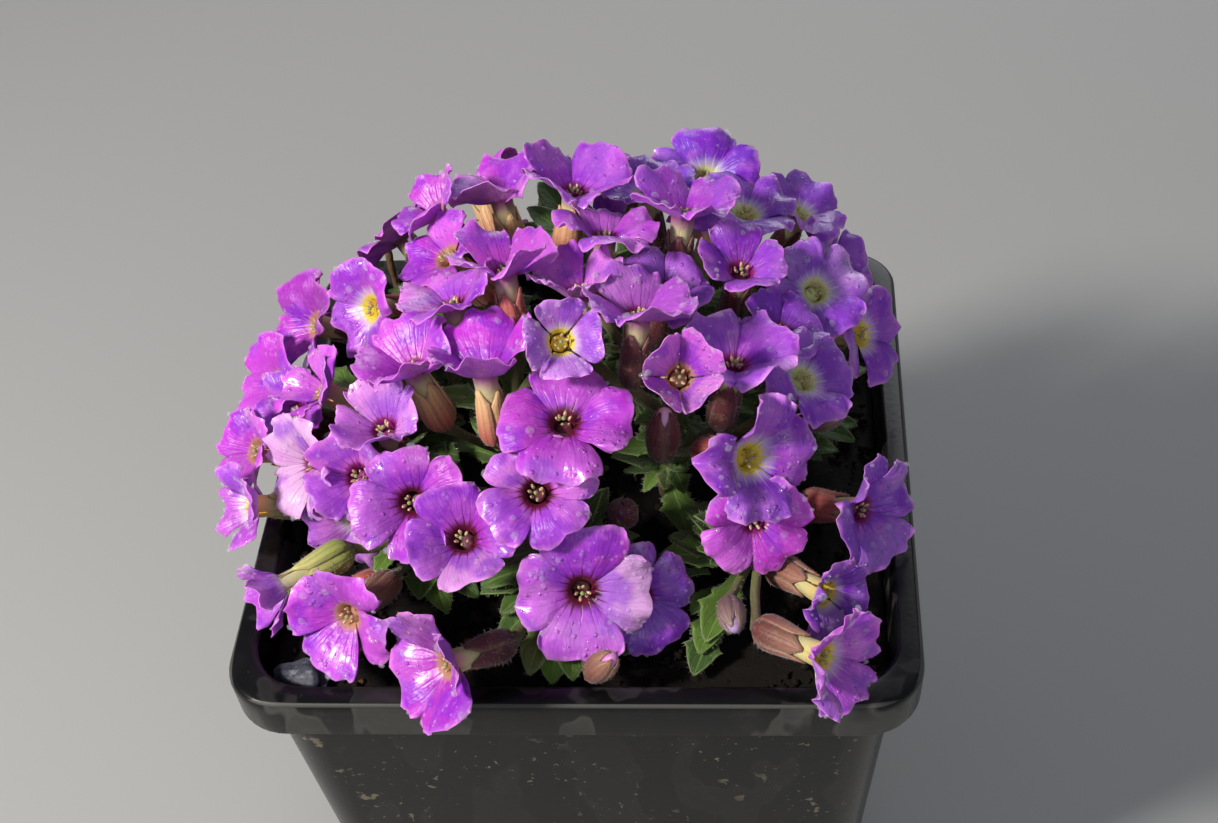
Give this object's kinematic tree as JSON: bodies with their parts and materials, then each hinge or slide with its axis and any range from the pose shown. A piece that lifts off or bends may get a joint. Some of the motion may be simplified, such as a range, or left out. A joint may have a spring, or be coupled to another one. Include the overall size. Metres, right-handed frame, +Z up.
{
  "type": "potted purple rock cress",
  "caption": "Low dome of four-petalled purple flowers on leafy shoots, in soil in a small square black nursery pot.",
  "frame": {"origin": "middle of the pot's underside, in the plane it stands on", "axes": "+Z up the plant, -Y towards the front that the picture shows, +X to the right of that front"},
  "size_m": [0.0974, 0.1035, 0.1218],
  "materials": {
    "pot_plastic": "satin",
    "peat": "matte",
    "stone": "satin",
    "straw": "matte",
    "leaf": "satin",
    "petal_magenta": "satin",
    "petal_purple": "satin",
    "petal_violet": "satin"
  },
  "bodies": {
    "root": {"pot": "pot_plastic", "soil": "peat", "stone": "stone", "dry_stalk": "straw", "shoot_01": "leaf", "shoot_02": "leaf", "shoot_03": "leaf", "shoot_04": "leaf", "shoot_05": "leaf", "shoot_06": "leaf", "shoot_07": "leaf", "shoot_08": "leaf", "shoot_09": "leaf", "shoot_10": "leaf", "bloom_01_02": "petal_purple", "bloom_03": "petal_magenta", "bloom_04": "petal_magenta", "bloom_05": "petal_purple", "bloom_06_07": "petal_magenta", "bloom_08_10_11": "petal_magenta", "bloom_09": "petal_purple", "bloom_12": "petal_magenta", "bloom_13": "petal_magenta", "bloom_14_17": "petal_magenta", "bloom_15": "petal_magenta", "bloom_16": "petal_magenta", "bloom_18_19": "petal_magenta", "bloom_20": "petal_violet", "bloom_21_22": "petal_magenta", "bloom_23_24": "petal_magenta", "bloom_25": "petal_purple", "bloom_26_27": "petal_magenta", "bloom_28": "petal_magenta", "bloom_29": "petal_magenta", "bloom_30": "petal_magenta", "bloom_31": "petal_purple", "bloom_32_34": "petal_violet", "bloom_33": "petal_violet", "bloom_35_36": "petal_violet", "bloom_37": "petal_violet", "bloom_38": "petal_violet", "bloom_39": "petal_violet", "bloom_40": "petal_violet", "bloom_41_42": "petal_magenta", "bloom_43_44": "petal_purple", "bloom_45_46": "petal_violet", "bloom_47_48": "petal_purple", "bloom_49": "petal_violet", "bloom_50": "petal_violet", "bloom_51": "petal_magenta", "bloom_52": "petal_violet", "bloom_53": "petal_violet", "bloom_54": "petal_purple", "bloom_55": "petal_magenta", "bloom_56": "petal_magenta", "bloom_57": "petal_magenta", "bloom_58": "petal_violet", "bloom_59": "petal_purple", "bloom_60": "petal_magenta"}
  },
  "joints": []
}
